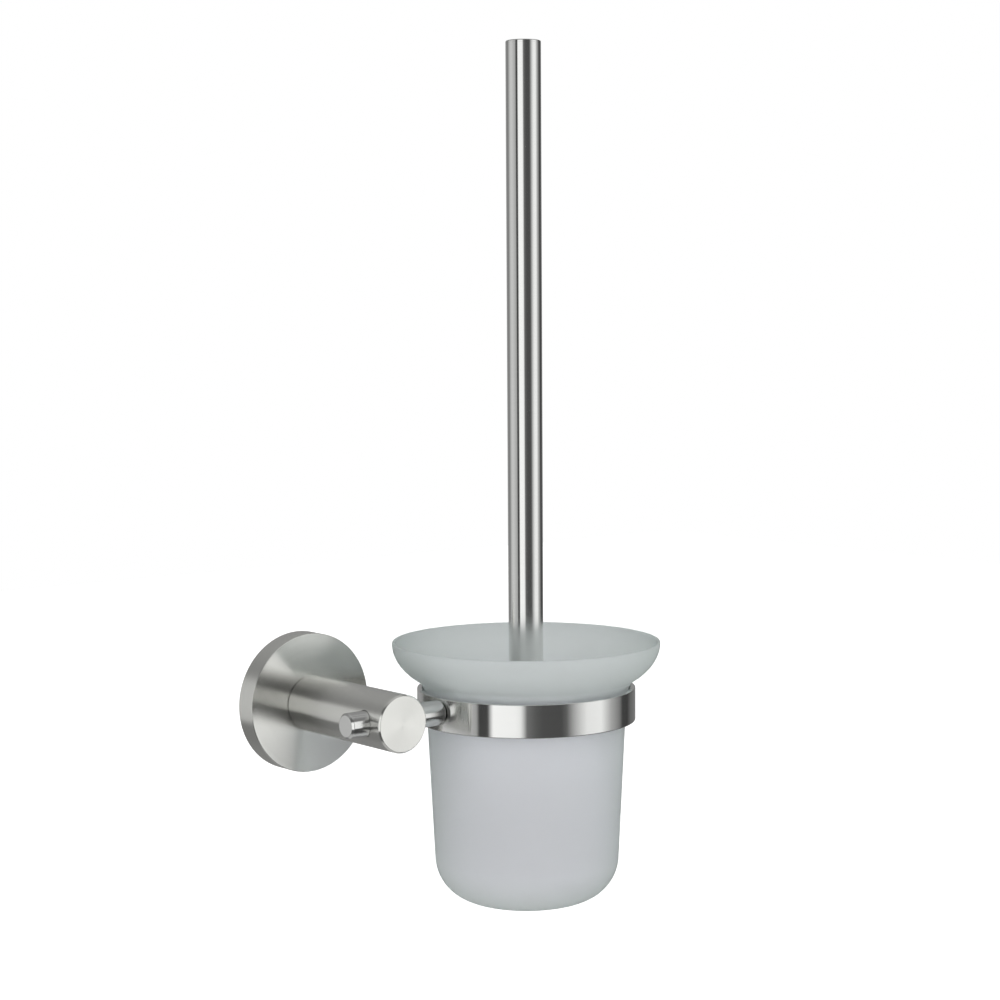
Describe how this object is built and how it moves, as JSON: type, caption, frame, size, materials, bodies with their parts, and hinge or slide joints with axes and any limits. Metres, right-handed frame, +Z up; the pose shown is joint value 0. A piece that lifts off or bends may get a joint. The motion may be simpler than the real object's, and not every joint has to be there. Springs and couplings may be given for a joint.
{
  "type": "wall-mounted toilet brush holder",
  "caption": "Wall-mounted toilet brush holder: round flange, post and cross rod carry a ring that holds a frosted glass cup, in which a brush with a straight tube handle stands.",
  "frame": {"origin": "centre of the wall bracket's back face, on the wall plane", "axes": "+Y into the wall, along the post's axis; +Z up, along the brush handle; +X along the cross rod towards the cup"},
  "size_m": [0.1737, 0.1512, 0.3923],
  "materials": {
    "satin_steel": "satin, turned on round faces",
    "polished_steel": "bright, close to polished",
    "cast_metal": "plain cast, zinc plated",
    "screw_steel": "plated",
    "clear_plastic": "translucent",
    "frosted_glass": "etched outside and inside",
    "white_plastic": "moulded",
    "bristle_nylon": "tufted nylon bristles"
  },
  "bodies": {
    "wall_holder": {"wall_bracket": "cast_metal", "wall_screw_upper": "screw_steel", "wall_screw_lower": "screw_steel", "flange_cover": "satin_steel", "flange_grub_screw": "screw_steel", "post": "satin_steel", "post_bolt": "screw_steel", "post_lock_washer": "screw_steel", "cross_rod": "polished_steel", "rod_grub_screw": "screw_steel", "ring_band": "polished_steel", "ring_screw": "screw_steel", "glass_seat": "clear_plastic"},
    "cup": {"glass_cup": "frosted_glass"},
    "brush": {"handle_tube": "polished_steel", "handle_top_cap": "polished_steel", "head_stud": "screw_steel", "head_core": "white_plastic", "bristle_row_1": "bristle_nylon", "bristle_row_2": "bristle_nylon", "bristle_row_3": "bristle_nylon", "bristle_row_4": "bristle_nylon", "bristle_row_5": "bristle_nylon", "bristle_row_6": "bristle_nylon", "bristle_row_7": "bristle_nylon", "bristle_crown": "bristle_nylon"}
  },
  "joints": [
    {"name": "cup_lift", "type": "slide", "parent": "wall_holder", "child": "cup", "axis": [0, 0, 1], "range_m": [0, 0.12]},
    {"name": "brush_lift", "type": "slide", "parent": "cup", "child": "brush", "axis": [0, 0, 1], "range_m": [0, 0.13]}
  ]
}
